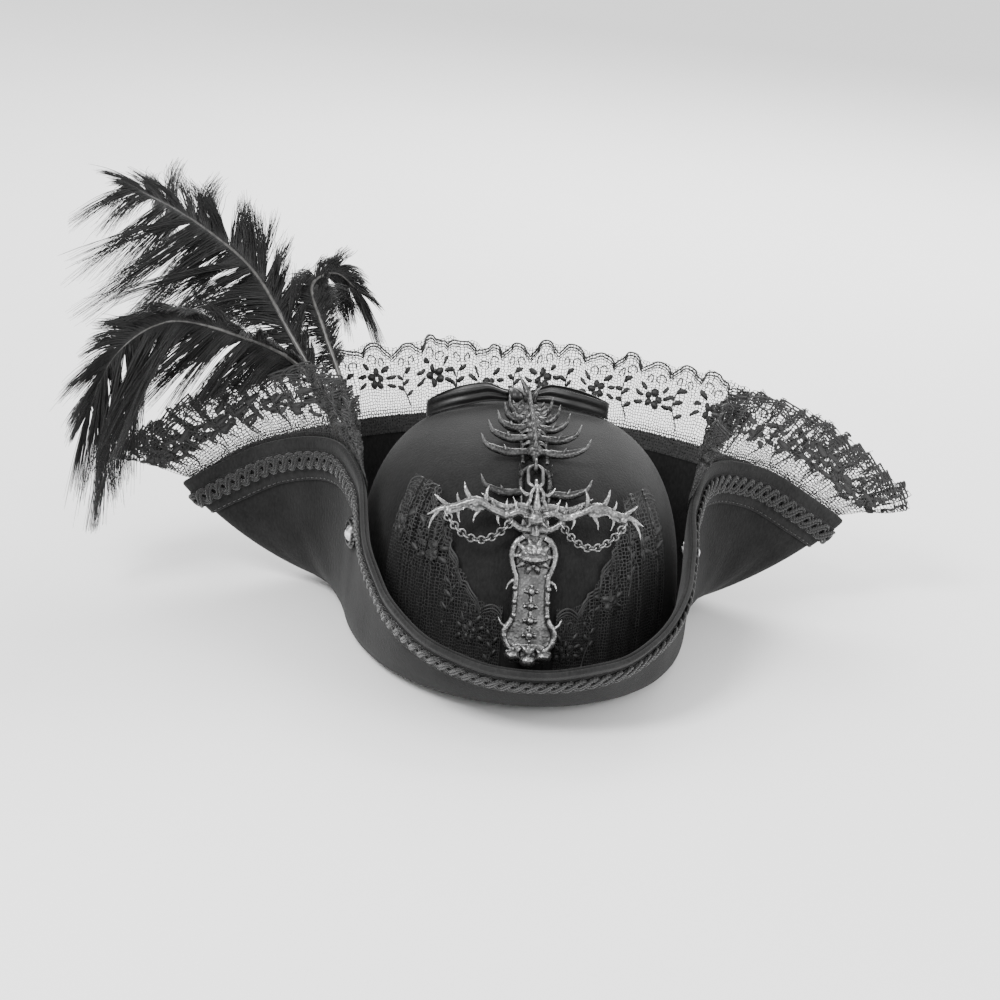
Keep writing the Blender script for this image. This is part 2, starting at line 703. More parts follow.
spine_parts = []
add_spine = spine_parts.append
along_spine = np.linspace(-0.2, 5.25, 60)
ridge = np.array([spine_centre(k) for k in along_spine])
add_spine(tube_parts(ridge[None], (2.3 + 0.25 * np.sin(along_spine * 9))[None], 14))
for k in np.arange(0, 5.4, 0.5):
    c = spine_centre(k)
    forward = unit(spine_centre(k + 0.1) - c)
    up = unit(np.cross([1.0, 0, 0], forward))
    half = 2.3 if k % 1 else 2.9
    girth = (3.3 if k % 1 else 4.2) * np.array([0.3, 0.8, 1.0, 0.92, 1.0, 0.8, 0.3])
    stops = np.linspace(-1, 1, 7)[:, None]
    add_spine(tube_parts((c + stops * half * forward)[None], girth[None], 20))
    tall = 3.0 + 1.2 * (k > 3.5) + 2.2 * ramp(k, 3.2, 5)
    tip = c + up * (VERTEBRA_R + tall) + forward * 1.6
    add_spine(limb([c + up * 2.5, c + up * (VERTEBRA_R + 0.3 * tall), tip], [1.9, 1.1, 0.2], 9, 8))
    for side in (-1, 1):
        foot = c + np.array([side * 2.6, 0, 0.8])
        knob = c + np.array([side * 5.6, 0, 0.2]) - up * 1.2
        add_spine(limb([foot, (foot + knob) / 2 + up * 0.5, knob], [1.7, 1.2, 1.0], 7, 8))
        if k > 2.6:
            thorn = knob + np.array([side * 2.6, 0.8, 3.2])
            add_spine(limb([knob, (knob + thorn) / 2 + [side * 0.5, 0, 0], thorn], [0.95, 0.6, 0.15], 7, 6))
for side in (-1, 1):
    rail = np.array([over_top(side * 5.7, y, 3.3) for y in np.linspace(-60, 14, 40)])
    add_spine(tube_parts(rail[None], (1.0 + 0.14 * np.sin(np.arange(40) * 1.7))[None], 10))
    prong = np.array([over_top(side * p[0], p[1], 1.9) for p in ([1.5, -60], [6.4, -66], [6.6, -74],
                                                                 [6.2, -81])])
    add_spine(limb(prong, [1.2, 1.25, 1.2, 0.3], 18, 8))
    for y in (-64, -69, -75):
        root = over_top(side * 6.3, y, 1.9)
        add_spine(limb([root, root + [side * 1.2, -0.6, 2.2], root + [side * 1.6, -2.2, 5.0]],
                       [1.0, 0.7, 0.15], 7, 6))
    for k, span in enumerate(RIB_SPANS):
        y = FRONT_RIB_Y if k == 0 else SPINE_FRONT + (k - 1) * VERTEBRA_PITCH
        lift = 3.4 if k == 0 else VERTEBRA_R + 0.4
        root_x = 6.4 if k == 0 else 3.4
        c = over_top(0, y, lift) - np.array([0, 0, 1.6 if k == 0 else 0])
        mid = root_x + 0.45 * (span - root_x)
        far = root_x + 0.85 * (span - root_x)
        line = [c + [side * root_x, 0, 0], c + [side * mid, -1, -0.5], c + [side * far, -1, 3],
                c + [side * span, -1, 9]]
        add_spine(limb(line, [1.9, 1.75, 1.3, 0.22], 30, 12))
        add_spine(limb([line[0] + [0, 0.6, 1.0], line[1] + [0, 0.6, 1.7], line[2] + [0, 0.3, 1.0]],
                       [0.9, 0.7, 0.3], 20, 8))
        knuckle = line[1] + np.array([0, 0, 1.2])
        add_spine(limb([knuckle, knuckle + [side * 0.6, 0.6, 1.6], knuckle + [side * 1.6, 1.4, 3.0]],
                       [1.0, 0.6, 0.15], 7, 6))
last = spine_centre(5)
add_spine(limb([last + [-0.6, 0, 2], last + [-1.6, 0.5, 7.5], last + [-6.2, 5, 15.2]], [2.6, 1.7, 0.22], 20,
               10))
add_spine(limb([last + [2.2, -1, 2], last + [3.3, -1, 6.8], last + [6, -1, 10.5]], [1.9, 1.3, 0.2], 14, 8))
add_spine(limb([last + [-1.2, -3, 3], last + [-3.6, -3, 7], last + [-8.2, -3.5, 9.5]], [1.4, 0.9, 0.2], 14,
               8))
add_spine(torus(SPINE_EYE, EYE_RADIUS, BAIL_WIRE, [1, 0, 0]))
eye_back = SPINE_EYE + np.array([0, 2.9, 0.5])
add_spine(limb([eye_back, (eye_back + ridge[0]) / 2, ridge[2]], [1.1, 1.4, 1.8], 8, 10))
spine = new_object("spine_casting", *joined(spine_parts))
remesh(spine, 0.36, rough=0.16, grain=1.1)
piece(spine, DARK_METAL_LOOK, stands_for=["spine", "spine_ribs", "spine_spikes"])

# ---------------------------------------------------------------- cross

TILT = math.radians(16)
CROSS_CENTRE = np.array([0, -90.6, 88.0])
CROSS_UP = np.array([0, math.sin(TILT), math.cos(TILT)])
CROSS_FACE = np.array([0, -math.cos(TILT), math.sin(TILT)])
CROSS_EYE = np.array([0, -77, 99.5])
EYE_LIFT = 5.8
CHAIN_EYE_RADIUS = 1.3
CHAIN_EYE_WIRE = 0.7
LEFT_CHAIN = [[-43, 0], [-12, -2]]
RIGHT_CHAIN = [[13, -3], [42, -1.5]]
CHAIN_SAG = 11.0


def on_cross(p):
    """Points given as (across, up, out) from the crossing."""
    p = np.asarray(p, float)
    across, rise, out = p[..., :1], p[..., 1:2], p[..., 2:3]
    return CROSS_CENTRE + across * np.array([1.0, 0, 0]) + rise * CROSS_UP + out * CROSS_FACE


def cross_limb(points, radii, steps=18, sides=9):
    return limb(on_cross(points), radii, steps, sides)


def plate(outline, low, high):
    """A flat plate on the cross with this outline, between two heights over its back."""
    outline = np.asarray(outline, float)
    if np.sum(outline[:, 0] * np.roll(outline[:, 1], -1) - np.roll(outline[:, 0], -1) * outline[:, 1]) < 0:
        outline = outline[::-1]
    n = len(outline)
    points = np.concatenate([on_cross(np.c_[outline, np.full(n, high)]),
                             on_cross(np.c_[outline, np.full(n, low)])])
    ring = np.arange(n)
    return points, [ring[None], ring[::-1][None] + n,
                    np.stack([(ring + 1) % n, ring, ring + n, (ring + 1) % n + n], -1)]


def both(half):
    return half + [[-x, y] for x, y in half[::-1]]


def chain_point(ends, f):
    a, b = on_cross(ends[0] + [EYE_LIFT]), on_cross(ends[1] + [EYE_LIFT])
    return a + (b - a) * f - np.array([0, 0, 4 * CHAIN_SAG * f * (1 - f)])


cross_parts = [
    plate(both([[0, 16], [2, 13], [4.5, 11.5], [3, 8.5], [6, 5], [5, -1]]), 0, 1.9),
    plate(both([[6, 2], [7, -5], [5, -9], [10, -14], [10, -22], [8, -27], [8.6, -32], [9, -46], [12.6, -54],
                [10.6, -62]]), 0, 1.4),
    plate(both([[5.5, -60], [10, -62], [11, -66], [6, -69], [0, -70]]), 0, 2.2),
]
add_cross = cross_parts.append
for side in (-1, 1):
    s = np.array([side, 1, 1.0])
    arm = lambda points, radii, steps=18: add_cross(cross_limb(np.array(points) * s, radii, steps))
    # two gnarled stems twist round each other along the arm
    arm([[1, 0, 2], [8, 3, 3], [14, 1, 2.2], [22, 4, 3], [29, 7, 2.6], [38, 4, 2.2], [46, 2, 1.8],
         [52, -1, 1.2]],
        [2.7, 2.0, 2.4, 1.9, 2.4, 1.8, 1.4, 0.25], 40)
    arm([[2, -5, 1.8], [7, -5, 2.6], [12, -2, 2.6], [17, 3, 1.8], [22, 5, 1.8], [28, 3, 3.0], [33, 4, 2.6],
         [40, 1, 2], [44, -0.5, 1.9]],
        [2.2, 1.8, 1.8, 1.5, 1.6, 1.6, 1.5, 1.3, 1.1], 40)
    arm([[2, 5, 1.6], [8, 6, 2], [15, 5, 2], [22, 8, 2], [27, 11, 2]], [1.8, 1.3, 1.2, 0.9, 0.2], 22)
    thorns = [([13, 1, 2], [14, 9, 2], 1.5), ([18, 2, 2.4], [17, -4.5, 3.2], 1.2),
              ([24, 5, 2], [23, 15, 2], 1.6),
              ([27, 3, 3], [30, -4, 3.6], 1.2), ([31, 6, 2], [35, 16, 1.4], 1.6), ([36, 4, 2],
                                                                                   [38, 11, 2.4], 1.1),
              ([37, 3, 2], [36, -4, 2.6], 1.1), ([41, 3, 2], [49, 9, 1.4], 1.3), ([46, 2, 1.6],
                                                                                  [51, -8, 1.6], 1.2),
              ([9, 3, 3], [9.5, 8, 4.6], 1.1), ([20, 5, 3], [21, 8, 6], 1.0), ([33, 4, 3], [35, 2, 6], 0.9)]
    for root, tip, girth in thorns:
        root, tip = np.array(root, float), np.array(tip, float)
        knee = root * 0.45 + tip * 0.55 + np.array([0.8, 0.4, 0.5])
        arm([root, knee, tip], [girth, girth * 0.62, 0.18], 11)
    for u, v, girth in ((14, 1, 2.7), (29, 6, 3.0), (42, 1.5, 2.0)):
        add_cross(ball(on_cross([side * u, v, 2.2]), girth))
    # leaf top, shaft rails with a rolled foot
    arm([[0, 16.5, 1.6], [2.6, 12.5, 2], [3.2, 8.5, 2.2], [5.2, 4.5, 2.2], [4.6, 0, 2]],
        [0.3, 1.1, 1.2, 1.4, 1.8], 20)
    arm([[4.5, 11, 2], [7, 12.6, 2], [8.6, 15, 2]], [1.1, 0.7, 0.18], 9)
    arm([[6, 5, 2], [9.5, 6.5, 2.4], [11.5, 10, 2.2]], [1.3, 0.8, 0.18], 9)
    arm([[5, -9, 2], [8.4, -11.5, 2.2], [10.4, -17, 2.2], [9.2, -24, 2.2], [7.6, -28, 2.2]],
        [1.5, 1.5, 1.6, 1.4, 1.4], 20)
    arm([[7.6, -28, 2.2], [7.8, -40, 2.3], [8.6, -48, 2.3], [12, -54.5, 2.3], [11, -60, 2.3], [7, -64, 2.3],
         [2.5, -62, 2.3]],
        [1.4, 1.35, 1.35, 1.7, 1.6, 1.5, 0.7], 40)
    arm([[10, -53, 2], [13.5, -51, 2.4], [15.4, -47.5, 2.2]], [1.3, 0.8, 0.18], 10)
    arm([[9, -30, 2], [11, -31.5, 2], [12.4, -35, 2]], [1.2, 0.7, 0.18], 9)
    for v in (-33.5, -40, -46.5):
        add_cross(ball(on_cross([side * 8.1, v, 3.3]), 1.35))
    add_cross(ball(on_cross([side * 7.6, -65.5, 2.2]), 3.9, 0.7))
    for a in np.radians([30, 90, 150, 210, 270, 330]):
        knob = [side * 7.6 + 2.9 * math.cos(a), -65.5 + 2.9 * math.sin(a), 2.6]
        add_cross(ball(on_cross(knob), 1.0))
add_cross(ball(on_cross([0, -68, 2.4]), 4.2, 0.75))
add_cross(cross_limb([[0, 16, 2], [0, 10, 3.2], [0, 4, 3.4], [0, -8, 2.6]], [0.3, 1.4, 2.2, 2.6]))
add_cross(ball(on_cross([0, 0, 2.6]), 5.2, 0.8))
for k in range(7):
    a = k * 2 * math.pi / 7 + 0.3
    way = np.array([math.cos(a), math.sin(a), 0])
    add_cross(cross_limb([way * 2.5 + [0, 0, 4], way * 4.6 + [0, 0, 6], way * 6.4 + [0, 0, 8.2]],
                         [1.3, 0.8, 0.18], 9))
# small crosses and a fleur in the slot
for v in (-35, -42, -49, -56):
    add_cross(ball(on_cross([0, v, 2.6]), 1.9))
    add_cross(cross_limb([[-3.2, v, 2.1], [-1.6, v, 2.5], [0, v, 2.6], [1.6, v, 2.5], [3.2, v, 2.1]],
                         [1.0, 0.55, 0.8, 0.55, 1.0], 16))
    add_cross(cross_limb([[0, v - 3.2, 2.1], [0, v - 1.6, 2.5], [0, v, 2.6], [0, v + 1.6, 2.5],
                          [0, v + 3.2, 2.1]], [0.9, 0.5, 0.8, 0.5, 0.9], 16))
for lean in (-0.6, 0, 0.6):
    add_cross(cross_limb([[0, -66, 4.5], [3 * lean, -62.5, 4.2], [6.5 * lean, -60 - abs(lean), 3.0]],
                         [1.2, 1.3, 0.3], 10))
# rosette: pointed petals in two rows round a boss
ROSETTE_V = -18.0
for row, (count, reach, high, girth) in enumerate(((10, 9.2, 3.5, 1.8), (10, 6.4, 4.9, 1.35),
                                                   (8, 3.6, 5.7, 0.95))):
    for k in range(count):
        a = 2 * math.pi * (k + 0.5 * (row % 2)) / count
        way = np.array([math.cos(a), math.sin(a), 0])
        middle = np.array([0, ROSETTE_V, 0])
        petal = [middle + way * 0.8 + [0, 0, high], middle + way * reach * 0.62 + [0, 0, high + 0.5],
                 middle + way * reach + [0, 0, high - 0.4]]
        add_cross(cross_limb(petal, [girth * 0.6, girth, girth * 0.45], 12))
add_cross(ball(on_cross([0, ROSETTE_V, 2.6]), 7.6, 0.42))
add_cross(ball(on_cross([0, ROSETTE_V, 6.0]), 2.1))
# hanging eye and the four eyes of the chains
stem = on_cross([0, 12, 1.2])
add_cross(limb([stem, stem + 0.4 * (CROSS_EYE - stem), stem + 0.74 * (CROSS_EYE - stem)], [1.3, 1.1, 1.0],
               10, 10))
add_cross(torus(CROSS_EYE, EYE_RADIUS, BAIL_WIRE, [1, 0, 0]))
for ends in (LEFT_CHAIN, RIGHT_CHAIN):
    line = on_cross(ends[1] + [EYE_LIFT]) - on_cross(ends[0] + [EYE_LIFT])
    hang_face = unit(np.array([line[1], -line[0], 0]))
    for k in (0, 1):
        f = k * 0.96 + 0.02
        way = unit(chain_point(ends, f + 0.01) - chain_point(ends, f - 0.01))
        add_cross(torus(on_cross(ends[k] + [EYE_LIFT]), CHAIN_EYE_RADIUS, CHAIN_EYE_WIRE,
                        np.cross(hang_face, way)))
        add_cross(cross_limb([ends[k] + [0.8], ends[k] + [2.5], ends[k] + [EYE_LIFT - CHAIN_EYE_RADIUS]],
                             [1.3, 0.9, 0.55], 8))
cross = new_object("cross_casting", *joined(cross_parts))
remesh(cross, 0.34, rough=0.15, grain=1.2)
piece(cross, WORN_METAL_LOOK, body="cross",
      stands_for=["cross_frame", "cross_rosette", "cross_beads"])

# ---------------------------------------------------------------- felt: crown and brim

AROUND = 480
T_ROUND = np.arange(AROUND)[:, None] * ROWS_ROUND / AROUND

crown = new_object("crown_felt", *dome_parts(crown_skin(320, 56, 0.0), crown_skin(320, 56, FELT)))
piece(crown, FELT_LOOK, stands_for=["crown"])

s_brim = np.linspace(0, 1, 40)[None]
rim = 0.5 * ramp(s_brim, 0.985, 1.0)
brim = new_object("brim_felt", *slab(on_brim(T_ROUND, s_brim, -rim), on_brim(T_ROUND, s_brim, rim - FELT),
                                     closed=True))
piece(brim, FELT_LOOK, stands_for=["brim"])

# ---------------------------------------------------------------- facing, its stitches and the braid

drops = np.array([FACING_WIDTH, FACING_WIDTH - 0.5, 17, 12, 8, 4, 1.5, 0.0])[None]
s_facing = below_edge(T_ROUND, drops)
swell = FACING_THICK * np.array([0.6, 1, 1, 1, 1, 1, 1, 0.9])[None]
face_grid = on_brim(T_ROUND, s_facing, 0.15 + swell)
back_grid = on_brim(T_ROUND, s_facing, 0.15 + 0 * swell)
lip = unit(brim_point(T_ROUND, 1.0) - brim_point(T_ROUND, 0.97))
face_grid = np.concatenate([face_grid, on_brim(T_ROUND, 1.0, 0.4) + 0.9 * lip,
                            on_brim(T_ROUND, 1.0, -0.9) + 0.8 * lip], 1)
back_grid = np.concatenate([back_grid, on_brim(T_ROUND, 1.0, 0.1) + 0.15 * lip,
                            on_brim(T_ROUND, 1.0, -0.9) + 0.15 * lip], 1)
facing = new_object("edge_facing_strip", *slab(face_grid, back_grid, closed=True))
piece(facing, FACING_LOOK, stands_for=["edge_facing"])


def round_lengths(drop):
    """Length round the brim at a distance below its edge, on a fine run of t."""
    t = np.linspace(0, ROWS_ROUND, 4801)
    p = on_brim(t, below_edge(t, drop), 1.35)
    return t, np.concatenate([[0], np.cumsum(np.linalg.norm(np.diff(p, axis=0), axis=-1))])


t_fine, stitch_line = round_lengths(FACING_WIDTH - 1.3)
STITCH_PITCH = 3.2
stitches = int(stitch_line[-1] / STITCH_PITCH)
starts = np.arange(stitches)[:, None] * stitch_line[-1] / stitches
stitch_run = np.array([0.0, 0.12, 0.5, 0.88, 1.0])[None]
stitch_lift = np.array([-0.35, 0.18, 0.28, 0.18, -0.35])[None]
t_stitch = np.interp(starts + stitch_run * 1.9, stitch_line, t_fine)
stitch_paths = on_brim(t_stitch, below_edge(t_stitch, FACING_WIDTH - 1.3),
                       0.15 + FACING_THICK + stitch_lift)
stitching = tubes("facing_stitches", stitch_paths, 0.24, 6)
note_points(stitching, "along", ring_along(stitch_paths, 6))
piece(stitching, STITCH_LOOK)

BRAID_MIDDLE = BRAID_DROP + BRAID_WIDTH / 2
BRAID_PERIOD = 12.3
BRAID_SWING = 3.35
CORD_RADIUS = 0.78
t_fine, braid_line = round_lengths(BRAID_MIDDLE)
periods = int(round(braid_line[-1] / BRAID_PERIOD))
x_braid = np.linspace(0, periods, periods * 16, endpoint=False)
t_braid = np.interp(x_braid / periods * braid_line[-1], braid_line, t_fine)
braid_paths = []
for sign in (-1, 1):
    for offset in (-0.82, 0.82):
        angle = 2 * math.pi * x_braid
        slope = BRAID_SWING * 2 * math.pi / BRAID_PERIOD * np.cos(angle)
        across = sign * BRAID_SWING * np.sin(angle) + offset * np.sqrt(1 + slope**2)
        lift = 0.15 + FACING_THICK + 0.35 + CORD_RADIUS + 0.55 * (1 + sign * np.cos(angle))
        braid_paths.append(on_brim(t_braid, below_edge(t_braid, BRAID_MIDDLE - across), lift))
braid_paths = np.array(braid_paths)
braid = tubes("braid_cords", braid_paths, CORD_RADIUS, 8, closed=True)
note_points(braid, "along", ring_along(braid_paths, 8))
piece(braid, BRAID_LOOK, stands_for=["braid_trim"])
tape_s = below_edge(T_ROUND, np.array([BRAID_DROP + BRAID_WIDTH, BRAID_MIDDLE, BRAID_DROP])[None])
tape = new_object("braid_tape", *slab(on_brim(T_ROUND, tape_s, 1.72), on_brim(T_ROUND, tape_s, 1.38),
                                      closed=True))
piece(tape, FACING_LOOK)

# ---------------------------------------------------------------- sweatband and lining

BAND_LOW = 0.4
BAND_HIGH = 25.0
az_round = np.arange(360)[:, None] * 1.0
z_band = np.linspace(BAND_LOW, BAND_HIGH, 12)[None]
ripple = 0.12 * np.sin(np.radians(az_round) * 23) * np.sin(z_band / 5)
band_out = over_side(az_round, z_band, -(FELT + 0.2) + 0 * ripple)
band_in = over_side(az_round, z_band, -(FELT + 1.6) + ripple)
band = new_object("sweatband_ribbon", *slab(band_out, band_in, closed=True))
band_x = np.broadcast_to(az_round * 1.6, (360, 12))
band_cloth = np.stack([np.broadcast_to(z_band, (360, 12)), band_x, 0 * band_x], -1).reshape(-1, 3)
note_points(band, "cloth", np.concatenate([band_cloth, band_cloth]))
piece(band, RIBBON_LOOK, stands_for=["sweatband"])

LINING_RISE = 6.0
lining_out = crown_skin(256, 40, FELT + 0.2, LINING_RISE, 89.5)
lining_in = crown_skin(256, 40, FELT + 1.0, LINING_RISE, 89.5)
lining = new_object("crown_lining_cloth", *dome_parts(lining_out, lining_in))
lining_cloth = np.stack(np.broadcast_arrays(np.arange(256)[:, None] * 2.2, np.linspace(0, 150, 40)[None],
                                            0.0), -1).reshape(-1, 3)
note_points(lining, "cloth", np.concatenate([lining_cloth, lining_cloth, [[0, 150, 0], [0, 150, 0]]]))
piece(lining, LINING_LOOK, stands_for=["crown_lining"])
seam_skin = crown_skin(8, 40, FELT + 1.35, 8, 89)
seams = tubes("lining_seams", seam_skin, 0.45, 6)
note_points(seams, "along", ring_along(seam_skin, 6))
piece(seams, STITCH_LOOK)

# ---------------------------------------------------------------- lace

SCALLOP = 18.0
SCALLOP_RISE = 5.0


def scallop_dip(x):
    """How far the scalloped edge dips below its tops at x along the cloth."""
    return SCALLOP_RISE * (1 - np.abs(np.sin(math.pi * x / SCALLOP)) ** 0.6)


def oval(root, direction, middle, half_length, half_width):
    """A closed oval whose middle is this far from its root, in a direction in radians."""
    b = 2 * math.pi * np.linspace(0, 1, 15)
    out = middle - half_length * np.cos(b)
    wide = half_width * np.sin(b)
    c, s = np.cos(direction), np.sin(direction)
    return np.stack([root[0] + out * c - wide * s, root[1] + out * s + wide * c], -1)


def lace_strokes(length, height, seed):
    """The pattern's cords and filled leaves, as [n][k][2] runs in the cloth's own millimetres."""
    r = np.random.default_rng(seed)
    count = max(1, int(length / SCALLOP))
    middle = (np.arange(count) + 0.5) * SCALLOP
    edge = lambda x: height(x) - scallop_dip(x)
    strokes, fills = [], []
    u = np.linspace(0, 1, 15)
    # C-shaped scrolls in pairs inside every scallop
    for side in (-1, 1):
        a = np.radians(-60 + 290 * u)[None]
        size = (2.9 - 1.5 * u)[None]
        x = middle[:, None] + side * (3.6 - size * np.cos(a))
        y = (edge(middle) - 9.2)[:, None] + size * np.sin(a)
        strokes.append(np.stack([x, y], -1))
    # five-petalled flowers, with leaves on both sides
    for flower in range(0, count, 2):
        cx = middle[flower] + r.uniform(-1.5, 1.5)
        cy = height(cx) - 20.5 + r.uniform(-1.5, 1.5)
        turn = r.uniform(0, 2 * math.pi)
        for k in range(5):
            petal = oval((cx, cy), turn + k * 2 * math.pi / 5, 3.4, 2.1, 1.7)
            strokes.append(petal[None])
            fills.append(petal[:-1])
        for side in (-1, 1):
            for k in range(3):
                leaf = oval((cx, cy), math.pi / 2 - side * (0.75 + 0.55 * k), 9.5, 3.0, 1.25)
                fills.append(leaf[:-1])
    # stems with leaves between the flowers
    for flower in range(1, count, 2):
        cx = middle[flower] + r.uniform(-1.5, 1.5)
        cy = height(cx) - 19
        v = np.linspace(0, 1, 15)
        stem = np.stack([cx + 2.6 * np.sin(4.2 * v), cy + 6 - 22 * v], -1)
        strokes.append(stem[None])
        for k in range(5):
            side = 1 if k % 2 else -1
            leaf = oval(stem[2 + 2 * k], math.pi / 2 - side * 0.9, 2.9, 2.6, 1.15)
            fills.append(leaf[:-1])
    return np.concatenate(strokes), np.array(fills)


def make_lace(name, surface, length, height, low, seed, node):
    """A net sheet with its corded pattern. surface(x, y) places the cloth's own x and y."""
    n = int(length / 0.8)
    m = 24
    x = np.linspace(0, length, n)[:, None]
    f = np.linspace(0, 1, m)[None]
    y = low(x) + f * (height(x) - low(x))
    x = np.broadcast_to(x, y.shape)
    sheet = surface(x, y)
    net = new_object(name + "_net", sheet.reshape(-1, 3), [grid_faces(n, m)])
    note_points(net, "cloth", np.stack([x, y, 0 * x], -1))
    piece(net, NET_LOOK, stands_for=[node])

    def spot(p, h):
        """Points on the cloth, h off its face."""
        p = np.asarray(p)
        a, b = np.clip(p[..., 0], 0.5, length - 0.5), np.maximum(p[..., 1], low(p[..., 0]) + 0.4)
        here = surface(a, b)
        if h == 0:
            return here
        along = surface(a + 0.4, b) - surface(a - 0.4, b)
        up = surface(a, b + 0.4) - surface(a, b - 0.4)
        return here + h * unit(np.cross(along, up))

    strokes, fills = lace_strokes(length, height, seed)
    parts = [tube_parts(spot(strokes, 0), 0.36, 5)]
    edge_x = np.linspace(0.6, length - 0.6, int(length / 0.7))
    for inset, radius in ((0.3, 0.5), (2.0, 0.42), (3.4, 0.26)):
        line = np.stack([edge_x, height(edge_x) - scallop_dip(edge_x) - inset], -1)
        parts.append(tube_parts(spot(line, 0)[None], radius, 6))
    front, back = spot(fills, 0.2), spot(fills, -0.2)
    count, k = front.shape[:2]
    base = (np.arange(count) * 2 * k)[:, None]
    ring = np.arange(k)
    points = np.concatenate([front, back], 1).reshape(-1, 3)
    sides = np.stack([ring, ring + k, (ring + 1) % k + k, (ring + 1) % k], -1)
    parts.append((points, [base + ring[None], base + k + ring[::-1][None],
                           (base[:, :, None] + sides[None]).reshape(-1, 4)]))
    cords = new_object(name + "_pattern", *joined(parts))
    piece(cords, CORD_LOOK)
    # the cloth's own length, over the folds of the part that stands free
    flat_length = float(np.linalg.norm(np.diff(sheet[:, m // 3:], axis=0), axis=-1).sum(0).mean())
    flat_height = float(np.mean(height(x[:, 0]) - low(x[:, 0])))
    say_share(net, flat_length, flat_height)


RUFFLE_HEIGHT = 40.0
RUFFLE_HEADING = 8.0


def ruffle_base(t, v):
    """Middle of the gathered lace at v over the edge, with its face and rising directions."""
    row = brim_at(t)
    out = heading(row[..., 4])
    lean = np.radians(8 + 1.45 * row[..., 6])[..., None]
    up = np.array([0, 0, 1.0])
    rise = out * np.sin(lean) + up * np.cos(lean)
    face = out * np.cos(lean) - up * np.sin(lean)
    low = on_brim(t, below_edge(t, np.maximum(-v, 0.0)), -(FELT + 0.5))
    return low + np.maximum(v, 0)[..., None] * rise, face


def make_ruffle(name, start, end, fullness, seed):
    """A gathered ruffle from row start to row end, fullness(t) times as long as what it is sewn to."""
    t = np.linspace(start, end, 1201)
    edge = brim_point(t, 1.0)
    step = np.linalg.norm(np.diff(edge, axis=0), axis=-1) * fullness((t[1:] + t[:-1]) / 2)
    cloth = np.concatenate([[0], np.cumsum(step)])
    length = math.floor(cloth[-1] / SCALLOP) * SCALLOP
    cloth *= length / cloth[-1]
    pleat = np.clip(17 + 3 * wander(cloth, seed, 70), 12, 23)
    phase = np.concatenate([[0], np.cumsum(2 * math.pi / pleat[1:] * np.diff(cloth))])

    def surface(x, y):
        tt = np.interp(x, cloth, t)
        base, face = ruffle_base(tt, y)
        ahead, _ = ruffle_base(np.minimum(tt + 0.02, end + 0.02), y)
        along = unit(ahead - base)
        full = fullness(tt) - 1
        a = np.interp(x, cloth, phase) + 0.5 * np.sin(y / 11 + x / 29 + seed) * ramp(y, 2, 20)
        grown = ramp(y, -2, 30)
        deep = (0.25 + 3.9 * grown) * np.minimum(1, full * 1.15) * np.clip(1 + 0.2 * wander(x, seed + 1,
                                                                                            60), 0.7, 1.35)
        sway = np.sin(a) + 0.28 * np.sin(2.3 * a + y / 9)
        sway = np.where(y < 2, sway - 1.2, sway)
        crumple = 0.35 * grown * np.sin(x / 2.9 + y / 3.3) + 0.5 * grown * np.sin(y / 4.1 - x / 7.3)
        shift = 1.9 * grown * np.minimum(1, full) * np.sin(2 * a + 0.6)
        drop = 1.2 * grown * (np.cos(a) + wander(x, seed + 2, 45))
        out = (deep * sway + crumple)[..., None] * face
        return base + out + shift[..., None] * along - drop[..., None] * np.array([0, 0, 1.0])

    whole = lambda x: RUFFLE_HEIGHT + 0 * x
    low = lambda x: -RUFFLE_HEADING + 0 * x
    make_lace(name, surface, length, whole, low, seed, name)


make_ruffle("lace_ruffle_right", 3.9, 7.8, lambda t: 2.0 + 0 * t, 21)
make_ruffle("lace_ruffle_left", 16.2, 20.1, lambda t: 2.0 + 0 * t, 22)
make_ruffle("lace_ruffle_back", 8.2, 15.8, lambda t: 1.25 + 0.75 * ramp(np.abs(t - 12), 1.2, 2.8), 23)

FLOUNCE_FROM = 9.0
FLOUNCE_TO = 54.0


def make_flounce(name, side, seed):
    """Lace gathered against the crown beside the cross."""
    length = 6 * SCALLOP

    def top(x):
        return 41 + 44 * ramp(FLOUNCE_FROM + (FLOUNCE_TO - FLOUNCE_FROM) * along_crown(x) / length, 14, 42)

    def along_crown(x):
        return x if side > 0 else length - x

    def surface(x, y):
        u = along_crown(x) / length
        azimuth = FLOUNCE_FROM + (FLOUNCE_TO - FLOUNCE_FROM) * u
        f = np.clip(y / top(x), 0, 1.1)
        a = 2 * math.pi * x / 15 + 0.8 * wander(x, seed, 40) + 0.6 * np.sin(f * 4 + seed)
        loose = ramp(azimuth, 12, 34)
        off = 1.0 + f * ramp(azimuth, 20, 36) * 3.4 + (0.35 + 2.0 * f * loose) * (1 + np.sin(a)) * 0.6
        azimuth = azimuth + 0.9 * loose * f * np.sin(2 * a + 0.5)
        return over_side(side * azimuth, 5 + y, off)

    low = lambda x: 0 * x
    make_lace(name, surface, length, top, low, seed, name)


make_flounce("lace_flounce_right", 1, 31)
make_flounce("lace_flounce_left", -1, 32)

# ---------------------------------------------------------------- plumes

TALL_ROUTE = [[-90, 27, 60], [-97, 36, 95], [-122, 60, 131], [-144, 92, 156], [-178, 136, 170],
              [-214, 190, 174]]
DROOP_ROUTE = [[-93.5, 27, 60], [-99, 31, 97], [-119, 27, 125], [-148, 17, 140], [-182, 10, 147],
               [-208, 15, 127],
               [-222, 26, 92]]
CURL_ROUTE = [[-86.5, 27, 60], [-90, 42, 98], [-104, 64, 131], [-112, 84, 150], [-100, 100, 154],
              [-86, 108, 142]]
QUILL_RADII = [1.5, 1.4, 1.2, 0.9, 0.6, 0.35, 0.25]
PLUME_LOW = np.array([-249.0, -40.0, 34.0])
PLUME_HIGH = np.array([0.0, 211.0, 202.0])


